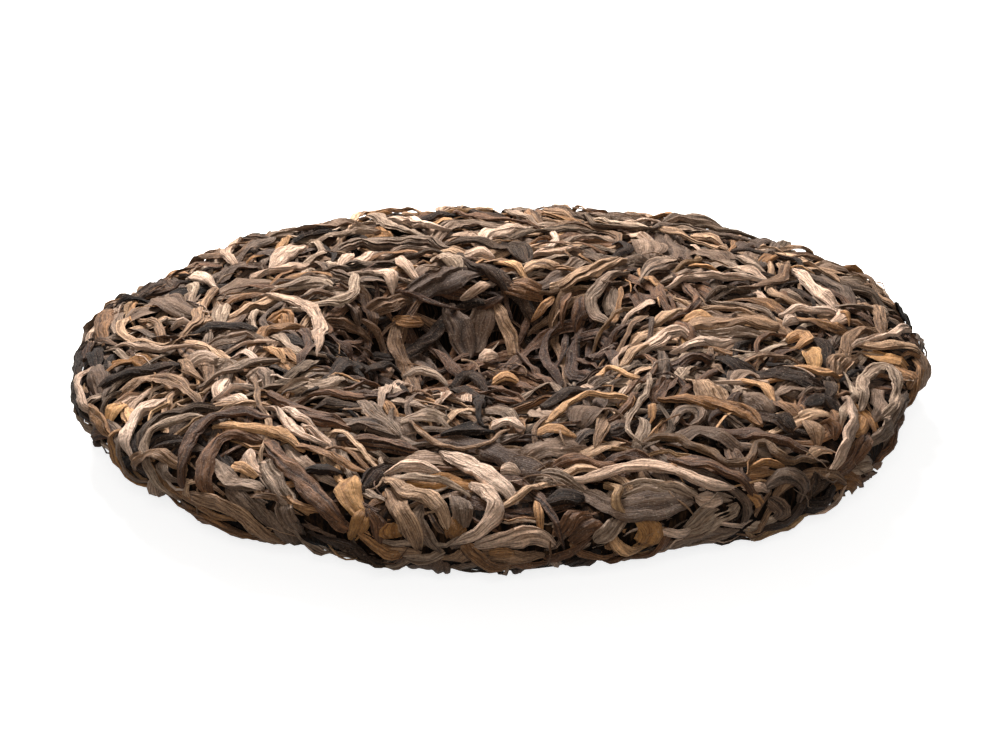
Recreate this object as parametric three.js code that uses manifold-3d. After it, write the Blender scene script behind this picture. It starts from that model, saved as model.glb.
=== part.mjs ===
// A round cake of compressed tea leaves, lying with its dimpled back up.
//
// The cake is one solid: a plain core, and the largest leaf strips of its surface fused onto it.
// Units are millimetres, +Z is up, and the origin is the middle of the flat spot that it rests on.
// Every strip lies just inside one smooth outer skin, the envelope, because the whole surface was
// pressed against a cloth. The core lies one leaf deeper.

import * as THREE from "three";
import { mergeVertices } from "three/addons/utils/BufferGeometryUtils.js";
import Module from "manifold-3d";

const wasm = await Module();
wasm.setup();

// Driving dimensions of the cake
const cake = {
  radius: 96.5,
  thickness: 26,
  widestHeight: 14.5, // where the rim reaches its full radius
  upperRoundness: 2.7, // superellipse powers: 2 is an ellipse, and higher is boxier
  lowerRoundness: 3.1,
  footRadius: 60, // the flat spot underneath
  footFade: 4, // height over which the flatness of the foot fades out
};

// The dimple that the knot of the cloth leaves, a little off the middle
const dimple = {
  x: -5,
  y: -6,
  radius: 27.5, // half way down its wall
  depth: 15.5,
  wallScale: 2.1, // smaller is steeper
  driftFrom: 38, // between these radii the offset fades out
  driftTo: 84,
};

// Unevenness of the pressing: low lumps from a few crossed waves, and an outline that isn't quite round
const unevenness = {
  lumpHeight: 0.75,
  lumpWaves: 6,
  shortestLump: 26,
  lumpStep: 7, // each wave is this much longer than the one before
  waveTurn: 2.4, // turns each wave's direction from the one before, in radians
  wavePhase: 1.7,
  climb: 0.8, // how much of a wave runs on with height
  outOfRound: 0.006,
};

// A leaf strip, rolled lengthwise and pressed
const leaf = {
  count: 116,
  shortest: 30,
  longest: 58,
  narrowest: 5.4,
  widest: 8.4,
  bend: 0.035, // most turning in the surface, in radians a millimetre
  along: 5, // rings, counted from 0
  corners: 4, // of its section: two on top, and two sunk in the core
  topShare: 0.68, // width of the top over the full width
  crown: 0.35, // its top stands this far proud or short of the skin
  root: 3.4, // how deep its lower corners lie
  tipDip: 0.9, // how much deeper the tips lie
  bluntness: 0.42, // 1 is a spindle, and lower has blunter tips
  steepest: 0.6, // of a random heading, against its run over the cake
  shrink: 0.7, // a strip may be this share of its full length
  slimmest: 0.3, // and its width this far along from the narrowest to the widest
  tries: 24, // places that are tried for each strip
};

// The plain core under the strips
const core = {
  depth: 2.2, // under the envelope
  around: 40, // faces
  along: 20,
  sink: 1.2, // it reaches this far below the foot before the foot is cut flat
};

const seed = 20;
const hair = 0.05; // lengths under this count as none

// Seeded random numbers from 0 to 1
let state = seed;
function random() {
  state = (state + 0x6d2b79f5) | 0;
  let t = Math.imul(state ^ (state >>> 15), 1 | state);
  t = (t + Math.imul(t ^ (t >>> 7), 61 | t)) ^ t;
  return ((t ^ (t >>> 14)) >>> 0) / 4294967296;
}

function between(low, high) {
  return low + (high - low) * random();
}

const { lerp, smoothstep } = THREE.MathUtils;

// Half the cake's section: the angle falls from 90 degrees at the dimple's floor, over 0 at the
// widest height of the rim, to -90 at the middle of the foot
function sectionPoint(angle) {
  const power = angle > 0 ? cake.upperRoundness : cake.lowerRoundness;
  const radius = cake.radius * Math.max(0, Math.cos(angle)) ** (2 / power);
  const rise = Math.abs(Math.sin(angle)) ** (2 / power);
  if (angle > 0) {
    const dip = dimple.depth / (1 + Math.exp((radius - dimple.radius) / dimple.wallScale));
    return new THREE.Vector2(radius, lerp(cake.widestHeight, cake.thickness, rise) - dip);
  }
  const footShare = cake.footRadius / cake.radius;
  const footRise = (1 - footShare ** power) ** (1 / power);
  return new THREE.Vector2(radius, cake.widestHeight * Math.max(0, 1 - rise / footRise));
}

const sectionSteps = 240;
const section = new THREE.SplineCurve(
  Array.from({ length: sectionSteps + 1 }, (_, i) => sectionPoint(Math.PI * (0.5 - i / sectionSteps))),
);
section.arcLengthDivisions = sectionSteps;

// Height of the low lumps at a point, from a few crossed waves
function lump(point) {
  let sum = 0;
  for (let i = 0; i < unevenness.lumpWaves; i++) {
    const turn = i * unevenness.waveTurn;
    const wave = (2 * Math.PI) / (unevenness.shortestLump + i * unevenness.lumpStep);
    const along = point.x * Math.cos(turn) + point.y * Math.sin(turn) + point.z * unevenness.climb;
    sum += Math.sin(wave * along + i * unevenness.wavePhase);
  }
  return (unevenness.lumpHeight * sum) / Math.sqrt(unevenness.lumpWaves);
}

// The outline's radius over the mean, at an angle round the axis
function outline(angle) {
  return 1 + unevenness.outOfRound * (Math.sin(2 * angle + 0.6) + 0.6 * Math.sin(5 * angle + 2));
}

// The skin at a share of the way along the section and an angle round the axis, pushed in by depth.
// The first half of the section is the top, where the dimple's offset fades out towards the rim.
function skin(share, angle, depth = 0) {
  const at = section.getPointAt(share);
  const along = section.getTangentAt(share);
  const onTop = share < 0.5;
  const round = outline(angle);
  const drift = onTop ? 1 - smoothstep(at.x, dimple.driftFrom, dimple.driftTo) : 0;
  const point = new THREE.Vector3(
    at.x * round * Math.cos(angle) + dimple.x * drift,
    at.x * round * Math.sin(angle) + dimple.y * drift,
    at.y,
  );
  const offFoot = onTop ? 1 : smoothstep(at.y, 0, cake.footFade);
  const push = offFoot * (lump(point) - depth);
  point.x -= along.y * push * Math.cos(angle);
  point.y -= along.y * push * Math.sin(angle);
  point.z += along.x * push;
  return point;
}

// The skin's outward direction
function outward(share, angle) {
  const step = 0.002;
  const low = Math.max(0, share - step);
  const high = Math.min(1, share + step);
  const down = skin(high, angle).sub(skin(low, angle));
  const round = skin(share, angle + step).sub(skin(share, angle - step));
  return down.cross(round).normalize();
}

// Points of the skin, for finding the one nearest to any point
const skinTable = [];
const tableRows = 130;
const tableAround = 90;
for (let i = 2; i < tableRows - 1; i++)
  for (let j = 0; j < tableAround; j++) {
    const share = i / tableRows;
    const angle = (j / tableAround) * 2 * Math.PI;
    skinTable.push({ share, angle, point: skin(share, angle), normal: outward(share, angle) });
  }

function nearestOnSkin(point) {
  let best = skinTable[0];
  let least = Infinity;
  for (const entry of skinTable) {
    const distance = entry.point.distanceToSquared(point);
    if (distance < least) {
      least = distance;
      best = entry;
    }
  }
  const off = point.clone().sub(best.point).dot(best.normal);
  return { point: point.clone().addScaledVector(best.normal, -off), normal: best.normal };
}

// Turns a three.js geometry into a solid that can be joined
function solidOf(geometry) {
  geometry.deleteAttribute("normal");
  geometry.deleteAttribute("uv");
  const merged = mergeVertices(geometry);
  return new wasm.Manifold(
    new wasm.Mesh({
      numProp: 3,
      vertProperties: merged.attributes.position.array,
      triVerts: new Uint32Array(merged.index.array),
    }),
  );
}

// The core: a lathed body whose rows follow the skin, one leaf deeper
function coreSolid() {
  const rows = Array.from({ length: core.along + 1 }, (_, row) => section.getPointAt(row / core.along));
  const lathe = new THREE.LatheGeometry(rows, core.around);
  const position = lathe.attributes.position;
  for (let column = 0; column <= core.around; column++)
    for (let row = 0; row <= core.along; row++) {
      const onAxis = row === 0 || row === core.along;
      const angle = onAxis ? 0 : -((column % core.around) / core.around) * 2 * Math.PI;
      const point = skin(row / core.along, angle, core.depth);
      const onFoot = row > core.along / 2 && point.z < hair;
      position.setXYZ(column * (core.along + 1) + row, point.x, point.y, onFoot ? -core.sink : point.z);
    }
  return solidOf(lathe);
}

// Walks over the skin from a start, and gives the places where a strip's rings lie
function walk(start, heading, length, turning) {
  const stride = length / leaf.along;
  const places = [];
  let at = start;
  let direction = heading.clone();
  for (let i = 0; i <= leaf.along; i++) {
    direction.addScaledVector(at.normal, -direction.dot(at.normal)).normalize();
    const side = at.normal.clone().cross(direction);
    places.push({ point: at.point, normal: at.normal, side });
    const next = nearestOnSkin(at.point.clone().addScaledVector(direction, stride));
    direction = next.point.clone().sub(at.point).normalize().applyAxisAngle(next.normal, turning * stride);
    at = next;
  }
  return places;
}

// One strip: a sphere's mesh, with its rings laid along the walk and squared to a low wedge, whose
// first and last corner lie deep in the core
function leafSolid(places, width) {
  const sphere = new THREE.SphereGeometry(1, leaf.corners, leaf.along);
  const position = sphere.attributes.position;
  const sides = [-1, -leaf.topShare, leaf.topShare, 1];
  for (let row = 0; row <= leaf.along; row++) {
    const { point, normal, side } = places[row];
    const swell = Math.sin((Math.PI * row) / leaf.along) ** leaf.bluntness;
    const top = leaf.tipDip * (1 - swell) + between(0, leaf.crown);
    const atTip = row === 0 || row === leaf.along;
    for (let corner = 0; corner <= leaf.corners; corner++) {
      const across = (swell * width * sides[corner % leaf.corners]) / 2;
      const onTop = Math.abs(sides[corner % leaf.corners]) < 1;
      const vertex = point.clone();
      if (!atTip) vertex.addScaledVector(side, across);
      vertex.addScaledVector(normal, onTop && !atTip ? -top : -leaf.root);
      position.setXYZ(row * (leaf.corners + 1) + corner, vertex.x, vertex.y, vertex.z);
    }
  }
  return solidOf(sphere);
}

// A random place on the skin, as likely anywhere outside the foot
function randomPlace() {
  for (;;) {
    const entry = skinTable[Math.floor(random() * skinTable.length)];
    const radius = Math.hypot(entry.point.x, entry.point.y);
    const onFoot = entry.share > 0.5 && radius < cake.footRadius + leaf.widest;
    if (!onFoot && random() * cake.radius < radius) return entry;
  }
}

// A strip's route through a random place, in a random direction
function randomRoute(length) {
  const start = randomPlace();
  const climb = between(-leaf.steepest, leaf.steepest);
  const heading = new THREE.Vector3(between(-1, 1), between(-1, 1), climb).normalize();
  const turning = between(-leaf.bend, leaf.bend);
  const back = walk(start, heading.clone().negate(), length / 2, 0).at(-1);
  return walk(back, start.point.clone().sub(back.point).normalize(), length, turning);
}

// Least distance from a route to the strips that are already there
function clearance(route, taken) {
  let least = Infinity;
  for (const { point } of route)
    for (const other of taken) least = Math.min(least, point.distanceToSquared(other));
  return least;
}

// Fuses strips onto the core, from the longest to the shortest, each in the freest of several places
function cakeSolid() {
  let solid = coreSolid();
  const taken = [];
  for (let i = 0; i < leaf.count; i++) {
    const size = 1 - i / leaf.count;
    const length = lerp(leaf.shortest, leaf.longest, size * between(leaf.shrink, 1));
    const width = lerp(leaf.narrowest, leaf.widest, between(leaf.slimmest, 1) * Math.sqrt(size));
    const routes = Array.from({ length: leaf.tries }, () => randomRoute(length));
    const free = routes.map((route) => clearance(route, taken));
    const route = routes[free.indexOf(Math.max(...free))];
    taken.push(...route.map((place) => place.point));
    solid = solid.add(leafSolid(route, width));
  }
  return solid;
}

// Everything under the foot's plane is cut off, so that the cake rests flat
function cutFoot(solid) {
  const size = 3 * cake.radius;
  const above = new THREE.BoxGeometry(size, size, size).translate(0, 0, size / 2);
  return solid.intersect(solidOf(above));
}

// The outermost shell, without hollows that crossing strips seal and scraps that come loose
function outermost(solid) {
  const shells = solid.decompose();
  const volumes = shells.map((shell) => shell.volume());
  return shells[volumes.indexOf(Math.max(...volumes))];
}

function geometryOf(solid) {
  const { vertProperties, triVerts } = solid.getMesh();
  const geometry = new THREE.BufferGeometry();
  geometry.setAttribute("position", new THREE.BufferAttribute(new Float32Array(vertProperties), 3));
  geometry.setIndex(new THREE.BufferAttribute(new Uint32Array(triVerts), 1));
  geometry.computeVertexNormals();
  return geometry;
}

const driedLeaf = new THREE.MeshStandardMaterial({ color: 0x5b4c3f, roughness: 0.85, metalness: 0 });

const teaCake = new THREE.Mesh(geometryOf(outermost(cutFoot(cakeSolid()))), driedLeaf);
teaCake.name = "tea_cake";

const group = new THREE.Group();
group.add(teaCake);

export default group;
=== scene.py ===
"""A round cake of compressed tea leaves, laid leaf by leaf inside the skin it was pressed to."""

import math
from dataclasses import dataclass, replace

import bpy
import numpy as np
from mathutils import Matrix, Vector
from mathutils.bvhtree import BVHTree


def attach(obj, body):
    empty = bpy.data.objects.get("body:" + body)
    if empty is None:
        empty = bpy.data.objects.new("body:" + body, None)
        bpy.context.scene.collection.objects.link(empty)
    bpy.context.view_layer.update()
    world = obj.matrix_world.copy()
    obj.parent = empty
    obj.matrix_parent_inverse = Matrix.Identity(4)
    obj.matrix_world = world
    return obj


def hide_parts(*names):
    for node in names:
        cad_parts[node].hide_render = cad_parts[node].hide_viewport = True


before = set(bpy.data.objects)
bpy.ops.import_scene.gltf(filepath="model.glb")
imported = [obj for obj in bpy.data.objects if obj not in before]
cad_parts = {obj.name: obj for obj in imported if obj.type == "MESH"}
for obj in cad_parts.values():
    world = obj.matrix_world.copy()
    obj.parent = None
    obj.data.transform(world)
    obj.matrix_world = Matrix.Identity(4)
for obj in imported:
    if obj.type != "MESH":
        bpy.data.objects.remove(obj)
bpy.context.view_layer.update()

# Lengths are in millimetres until a mesh is made, because leaves are measured in them
MM = 0.001
rng = np.random.default_rng(357)

# The cake's form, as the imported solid's, with a softer shoulder to the dimple
CAKE_RADIUS = 96.5
THICKNESS = 26.0
WIDEST_HEIGHT = 14.5
UPPER_ROUNDNESS = 2.7
LOWER_ROUNDNESS = 3.1
FOOT_RADIUS = 60.0
FOOT_FADE = 4.0
DIMPLE = np.array([-5.0, -6.0])
DIMPLE_RADIUS = 29.3
DIMPLE_DEPTH = 15.5
DIMPLE_WALL = 3.2
DRIFT_FROM, DRIFT_TO = 38.0, 84.0
LUMP_HEIGHT = 0.75
SHORTEST_LUMP = 26.0
LUMP_STEP = 7.0
OUT_OF_ROUND = 0.006

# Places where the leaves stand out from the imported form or, at the dimple's near lip, dip into it:
# the middle of each, how far it stands out and how far it reaches
BULGES = ((62.0, -64.0, 4.0, 3.0, 20.0), (84.0, 36.0, 18.0, 2.4, 20.0), (-95.0, 6.0, 12.0, 2.0, 20.0),
          (96.0, 8.0, 14.0, 1.2, 18.0), (90.0, -26.0, 8.0, -1.6, 14.0), (-15.0, -82.0, 3.0, 2.0, 12.0),
          (3.0, -38.0, 25.0, -2.8, 8.0))

# The camera, fitted to the photograph's outline
PHOTO_WIDTH, PHOTO_HEIGHT = 1000, 730
CAMERA_DISTANCE = 650.0
CAMERA_ELEVATION = math.radians(22.8)
CAMERA_ROLL = math.radians(-0.39)
CAMERA_TARGET = Vector((0.0, 0.0, 12.6))
PIXELS_PER_MM = 4.32  # at the target
SENSOR = 36.0


# The skin

def smoothstep(value, low, high):
    share = np.clip((value - low) / (high - low), 0, 1)
    return share * share * (3 - 2 * share)


def waves(points, count, shortest, step, turn=2.4, phase=1.7, climb=0.8):
    """A few crossed waves through space, as a height around 0"""
    total = np.zeros(points.shape[:-1])
    for i in range(count):
        number = 2 * np.pi / (shortest + i * step)
        level = points[..., 0] * math.cos(i * turn) + points[..., 1] * math.sin(i * turn)
        total += np.sin(number * (level + points[..., 2] * climb) + phase * i)
    return total / math.sqrt(count)


def section(steps=4000):
    """Half the cake's section, from the dimple's floor over the rim to the middle of the foot"""
    angle = np.pi * (0.5 - np.arange(steps + 1) / steps)
    power = np.where(angle > 0, UPPER_ROUNDNESS, LOWER_ROUNDNESS)
    radius = CAKE_RADIUS * np.maximum(0, np.cos(angle)) ** (2 / power)
    rise = np.abs(np.sin(angle)) ** (2 / power)
    dip = DIMPLE_DEPTH / (1 + np.exp((radius - DIMPLE_RADIUS) / DIMPLE_WALL))
    upper = WIDEST_HEIGHT + (THICKNESS - WIDEST_HEIGHT) * rise - dip
    foot_rise = (1 - (FOOT_RADIUS / CAKE_RADIUS) ** LOWER_ROUNDNESS) ** (1 / LOWER_ROUNDNESS)
    lower = WIDEST_HEIGHT * np.maximum(0, 1 - rise / foot_rise)
    return np.stack([radius, np.where(angle > 0, upper, lower)], 1)


SECTION = section()
SECTION_RUN = np.concatenate([[0], np.cumsum(np.linalg.norm(np.diff(SECTION, axis=0), axis=1))])
SECTION_LENGTH = SECTION_RUN[-1]
SECTION_SHARE = SECTION_RUN / SECTION_LENGTH
SECTION_SLOPE = np.gradient(SECTION, SECTION_SHARE, axis=0)
SECTION_SLOPE /= np.linalg.norm(SECTION_SLOPE, axis=1, keepdims=True)


def on_section(values, share):
    return np.interp(share, SECTION_SHARE, values)


def skin(share, angle):
    """Points of the skin at shares of the way along the section and angles round the axis"""
    radius, height = on_section(SECTION[:, 0], share), on_section(SECTION[:, 1], share)
    slope_out, slope_up = on_section(SECTION_SLOPE[:, 0], share), on_section(SECTION_SLOPE[:, 1], share)
    outline = 1 + OUT_OF_ROUND * (np.sin(2 * angle + 0.6) + 0.6 * np.sin(5 * angle + 2))
    on_top = share < 0.5
    drift = np.where(on_top, 1 - smoothstep(radius, DRIFT_FROM, DRIFT_TO), 0)
    x = radius * outline * np.cos(angle) + DIMPLE[0] * drift
    y = radius * outline * np.sin(angle) + DIMPLE[1] * drift
    places = np.stack([x, y, height], -1)
    lumps = LUMP_HEIGHT * waves(places, 6, SHORTEST_LUMP, LUMP_STEP)
    for *middle, rise, reach in BULGES:
        lumps = lumps + rise * np.exp(-((places - middle) ** 2).sum(axis=-1) / (2 * reach**2))
    push = np.where(on_top, 1, smoothstep(height, 0, FOOT_FADE)) * lumps
    x = x - slope_up * push * np.cos(angle)
    y = y - slope_up * push * np.sin(angle)
    return np.stack([x, y, height + slope_out * push], -1)


def skin_net(rows, around, edge=0.0):
    """Shares and angles of a net over the whole skin"""
    shares = np.linspace(edge, 1 - edge, rows)
    return np.meshgrid(shares, np.linspace(0, 2 * np.pi, around, endpoint=False), indexing="ij")


def skin_tree(rows=240, around=420):
    """The skin as a fine mesh, for the nearest point and for rays"""
    share, angle = skin_net(rows, around)
    index = np.arange(rows * around).reshape(rows, around)
    right = np.roll(index, -1, axis=1)
    quads = np.stack([index[:-1], index[1:], right[1:], right[:-1]], -1).reshape(-1, 4)
    return BVHTree.FromPolygons(skin(share, angle).reshape(-1, 3).tolist(), quads.tolist())


SKIN = skin_tree()


def skin_spots(spacing):
    """Evenly spaced points of the skin"""
    found = []
    for share in np.arange(0.5, SECTION_LENGTH / spacing) * spacing / SECTION_LENGTH:
        count = max(3, round(2 * math.pi * float(on_section(SECTION[:, 0], share)) / spacing))
        angle = np.arange(count) / count * 2 * np.pi
        found.append(skin(np.full(count, share), angle))
    return np.concatenate(found)


# Routes over the skin

def unit(vectors):
    return vectors / np.linalg.norm(vectors, axis=-1, keepdims=True)


def spline(points, shares):
    """A smooth curve through the points"""
    padded = np.vstack([2 * points[0] - points[1], points, 2 * points[-1] - points[-2]])
    at = np.clip(shares, 0, 1) * (len(points) - 1)
    first = np.minimum(at.astype(int), len(points) - 2)
    t = (at - first)[:, None]
    a, b, c, d = (padded[first + k] for k in range(4))
    return 0.5 * (2 * b + (c - a) * t + (2 * a - 5 * b + 4 * c - d) * t**2 + (3 * b - a - 3 * c + d) * t**3)


class Route:
    """A leaf's way over the skin, from evenly spaced stations on it"""

    def __init__(self, stations):
        self.points = np.array([point for point, _ in stations], float)
        self.normals = np.array([normal for _, normal in stations], float)
        self.length = float(np.linalg.norm(np.diff(self.points, axis=0), axis=1).sum())

    def at(self, shares):
        points = spline(self.points, shares)
        normals = unit(spline(self.normals, shares))
        along = unit(np.gradient(points, axis=0))
        sides = unit(np.cross(normals, along))
        return points, unit(np.cross(along, sides)), sides


STRIDE = 2.2  # between stations


def nearest(point):
    found, normal, _, _ = SKIN.find_nearest(point)
    return found, normal


def walk(start, heading, turns):
    """Stations over the skin from a start, one for each turn of the heading"""
    point, normal = nearest(start)
    stations = []
    for turn in turns:
        heading = (heading - normal * heading.dot(normal)).normalized()
        heading = heading * math.cos(turn) + normal.cross(heading) * math.sin(turn)
        point, normal = nearest(point + heading * STRIDE)
        stations.append((point, normal))
    return stations


# The pile

CELL = 0.8  # of the map of free depth
REACH = 3  # cells round a spot that count as the spot's


class Pile:
    """How deep the free space starts under each spot of the skin, as leaves are laid from the top down"""

    def __init__(self):
        self.spots = skin_spots(CELL)
        self.low = self.spots.min(axis=0) - (REACH + 1) * CELL
        size = ((self.spots.max(axis=0) - self.low) / CELL).astype(int) + REACH + 2
        self.table = np.zeros(size, np.int32)
        cells = ((self.spots - self.low) / CELL).astype(int)
        steps = np.arange(-REACH, REACH + 1)
        offsets = np.stack(np.meshgrid(steps, steps, steps), -1).reshape(-1, 3)
        for offset in offsets[np.argsort(-(offsets**2).sum(axis=1), kind="stable")]:
            self.table[tuple((cells + offset).T)] = np.arange(len(cells))
        self.depth = np.zeros(len(self.spots))

    def spots_at(self, points):
        cells = ((points - self.low) / CELL).astype(int)
        cells = np.clip(cells, 0, np.array(self.table.shape) - 1)
        return self.table[tuple(np.moveaxis(cells, -1, 0))]


pile = Pile()


def windows(values, reach):
    padded = np.pad(values, reach, mode="edge")
    return np.stack([padded[k : k + len(values)] for k in range(2 * reach + 1)])


# The kinds of leaf

GREY, TAUPE, UMBER, BLACK = "grey_strips", "taupe_strips", "umber_strips", "black_strips"
SILVER, GOLDEN, STEM = "silver_buds", "golden_tips", "stems"
BLADE, TAN = "blades", "golden_blades"
# leaves deep in the pile, coloured darker than those above them as painted shade
UNDER_DARK, UNDER_BROWN = "under_dark", "under_brown"


@dataclass(frozen=True)
class Kind:
    """How the leaves of one kind are shaped. Pairs are the least and the most."""

    length: tuple
    width: tuple
    flatness: tuple  # thickness over width
    lobes: tuple = (4, 7)  # strands that show round a rolled leaf
    crease: float = 0.42  # how deep the creases between them cut, over the radius
    twist: float = 0.09  # radians a millimetre, at most
    bluntness: tuple = (0.25, 0.6)  # 1 is a spindle, and lower has blunter tips
    bend: float = 0.06  # most turning in the skin, in radians a millimetre
    hook: float = 0.2  # chance of a curled tip
    wobble: float = 0.2  # of the middle line
    open: float = 0.0  # share that are open ribbons instead of rolls
    strand: tuple = (0.9, 1.7)  # across one strand of an open leaf
    broken: float = 0.32  # chance that a tip is broken off


STRIP = Kind(length=(14, 42), width=(1.4, 4.1), flatness=(0.34, 0.66), open=0.5)
SLIVER = Kind(length=(7, 20), width=(0.8, 1.7), flatness=(0.5, 0.9), lobes=(3, 4), hook=0.2, broken=0.6)
WIDE = Kind(length=(12, 28), width=(4.2, 7.2), flatness=(0.16, 0.28), bluntness=(0.18, 0.5), twist=0.0,
            bend=0.03, hook=0.0, open=1.0, strand=(2.2, 5.0), broken=0.7)
KINDS = dict.fromkeys((GREY, TAUPE, UMBER, BLACK), STRIP) | {
    SILVER: Kind(length=(14, 32), width=(1.8, 4.2), flatness=(0.42, 0.66), lobes=(7, 10), crease=0.28,
                 twist=0.05, bluntness=(0.4, 0.9), open=0.4, broken=0.2),
    GOLDEN: Kind(length=(8, 26), width=(1.2, 3.2), flatness=(0.4, 0.7), open=0.5),
    BLADE: WIDE,
    TAN: replace(WIDE, width=(3.6, 6.4), length=(10, 24)),
    STEM: Kind(length=(12, 36), width=(1.0, 1.7), flatness=(0.8, 1.0), lobes=(3, 5), crease=0.25,
               bluntness=(0.1, 0.2), wobble=0.9, bend=0.07),
}
UNDER = replace(STRIP, length=(12, 30), width=(2.4, 4.4), lobes=(3, 4), open=0.0)


def skewed(pair, power=1.3):
    """A random value between a pair, more often near its lower end"""
    return pair[0] + (pair[1] - pair[0]) * rng.random() ** power


WRINKLED = (0.4, 1.1)  # share of its kind's creases that one leaf has
LOBE_WIDTHS, LOBE_HEIGHTS, LOBE_CREASES = (0.5, 1.5), (0.82, 1.12), (0.4, 1.0)  # uneven round one leaf
LOBE_SHAPE = ((0.0, 0.0), (0.24, 0.88), (0.7, 1.0))  # places along a lobe, and how far each stands out


def rolled_section(kind, per_lobe):
    """Corners round a rolled leaf: their angles, their radii, and how far each stands out from a crease,
    which sets the painted shade there
    """
    lobes = rng.integers(kind.lobes[0], kind.lobes[1] + 1)
    widths = rng.uniform(*LOBE_WIDTHS, lobes)
    edges = np.concatenate([[0], np.cumsum(widths)]) / widths.sum() * 2 * np.pi
    angles, radii, ridges = [], [], []
    wrinkled = rng.uniform(*WRINKLED)
    for start, end in zip(edges[:-1], edges[1:]):
        height, depth = rng.uniform(*LOBE_HEIGHTS), wrinkled * rng.uniform(*LOBE_CREASES)
        for along, rise in LOBE_SHAPE[:per_lobe]:
            angles.append(start + (end - start) * along)
            radii.append(height * (1 - kind.crease * depth * (1 - rise)))
            ridges.append(1 - depth * (1 - rise))
    return np.array(angles), np.array(radii), np.array(ridges)


SHARP = math.radians(40)  # edges that turn more than this show as creases
TIP_RIDGE = 0.6  # how far a tip stands out from the creases, which sets its painted shade
FIBRE_STEPS, FIBRE_SPANS = np.array([7.3, 11.9]), np.array([61, 83])  # give each leaf fibres of its own
BAKE_MARGIN = 0.04  # round each leaf in its cell of the second map
BAKE_CELL = 4  # height of that cell over its width


@dataclass
class Batch:
    """The leaves of one piece, as parts of one mesh"""

    name: str

    def __post_init__(self):
        self.vertices, self.quads, self.triangles = [], [], []
        self.quad_uv, self.triangle_uv, self.quad_leaf, self.triangle_leaf = [], [], [], []
        self.tone, self.ridge = [], []
        self.size = 0
        self.leaves = 0

    def add(self, rings, tips, tone, ridge, lengths, girth):
        """Adds one leaf: rings of corners, and a corner at each tip"""
        count, corners = rings.shape[:2]
        index = self.size + np.arange(count * corners).reshape(count, corners)
        right = np.roll(index, -1, axis=1)
        first_tip, last_tip = self.size + count * corners, self.size + count * corners + 1
        self.vertices += [rings.reshape(-1, 3), tips]
        self.quads.append(np.stack([index[:-1], right[:-1], right[1:], index[1:]], -1).reshape(-1, 4))
        first = np.stack([np.full(corners, first_tip), right[0], index[0]], -1)
        last = np.stack([np.full(corners, last_tip), index[-1], right[-1]], -1)
        self.triangles += [first, last]
        u = np.arange(corners + 1) / corners
        v = lengths / max(lengths[-1], 1e-6)
        u0, v0 = np.meshgrid(u[:-1], v[:-1])
        u1, v1 = np.meshgrid(u[1:], v[1:])
        self.quad_uv.append(np.stack([u0, v0, u1, v0, u1, v1, u0, v1], -1).reshape(-1, 4, 2))
        middle = (u[:-1] + u[1:]) / 2
        for tip_v, ring_v, a, b in ((0.0, v[0] + 0.01, u[1:], u[:-1]), (1.0, v[-1] - 0.01, u[:-1], u[1:])):
            fan = [middle, np.full(corners, tip_v), a, np.full(corners, ring_v), b, np.full(corners, ring_v)]
            self.triangle_uv.append(np.stack(fan, -1).reshape(-1, 3, 2))
        size = np.array([self.leaves, girth, lengths[-1]])
        self.quad_leaf.append(np.tile(size, ((count - 1) * corners, 1)))
        self.triangle_leaf.append(np.tile(size, (2 * corners, 1)))
        self.tone.append(np.full(count * corners + 2, tone))
        self.ridge.append(np.concatenate([ridge.ravel(), [TIP_RIDGE, TIP_RIDGE]]))
        self.size += count * corners + 2
        self.leaves += 1

    def build(self):
        """Makes the object, with a map in millimetres along the leaves and one that packs them together"""
        quads, triangles = np.concatenate(self.quads), np.concatenate(self.triangles)
        mesh = bpy.data.meshes.new(self.name)
        mesh.vertices.add(self.size)
        mesh.vertices.foreach_set("co", (np.concatenate(self.vertices) * MM).ravel())
        mesh.loops.add(quads.size + triangles.size)
        mesh.loops.foreach_set("vertex_index", np.concatenate([quads.ravel(), triangles.ravel()]))
        mesh.polygons.add(len(quads) + len(triangles))
        starts = [np.arange(len(quads)) * 4, quads.size + np.arange(len(triangles)) * 3]
        mesh.polygons.foreach_set("loop_start", np.concatenate(starts))
        mesh.update(calc_edges=True)
        mesh.shade_smooth()
        mesh.set_sharp_from_angle(angle=SHARP)
        uv = np.concatenate([part.reshape(-1, 2) for part in self.quad_uv + self.triangle_uv])
        leaf = np.concatenate([np.repeat(np.concatenate(self.quad_leaf), 4, axis=0),
                               np.repeat(np.concatenate(self.triangle_leaf), 3, axis=0)])
        number, girth, length = leaf.T
        fibres = uv * np.stack([girth, length], -1) + number[:, None] * FIBRE_STEPS % FIBRE_SPANS
        mesh.uv_layers.new(name="Fibres").uv.foreach_set("vector", fibres.ravel())
        columns = max(1, math.ceil(math.sqrt(self.leaves * BAKE_CELL)))
        rows = math.ceil(self.leaves / columns)
        cell = np.stack([number % columns, number // columns], -1)
        packed = (cell + BAKE_MARGIN + (1 - 2 * BAKE_MARGIN) * uv) / np.array([columns, rows])
        mesh.uv_layers.new(name="OFBake").uv.foreach_set("vector", packed.ravel())
        mesh.attributes.new("tone", "FLOAT", "POINT").data.foreach_set("value", np.concatenate(self.tone))
        # ridge tells the material where to paint shade in the creases and a lighter colour on the ridges
        mesh.attributes.new("ridge", "FLOAT", "POINT").data.foreach_set("value", np.concatenate(self.ridge))
        piece = bpy.data.objects.new(self.name, mesh)
        bpy.context.scene.collection.objects.link(piece)
        return piece


batches = {}


def batch(name):
    return batches.setdefault(name, Batch(name))


@dataclass
class Leaf:
    """One leaf before it is laid"""

    kind: Kind
    width: float
    thickness: float
    bluntness: float
    skew: float
    ends: tuple  # shares of the whole spindle at which it starts and stops
    tilt: float  # of its section, in radians
    sink: float  # how deep its top lies in free space
    open: bool

    def swell(self, shares):
        """Width along the leaf over its full width"""
        spindle = self.ends[0] + (self.ends[1] - self.ends[0]) * np.clip(shares, 0, 1)
        return np.sin(np.pi * spindle**self.skew) ** self.bluntness


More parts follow.
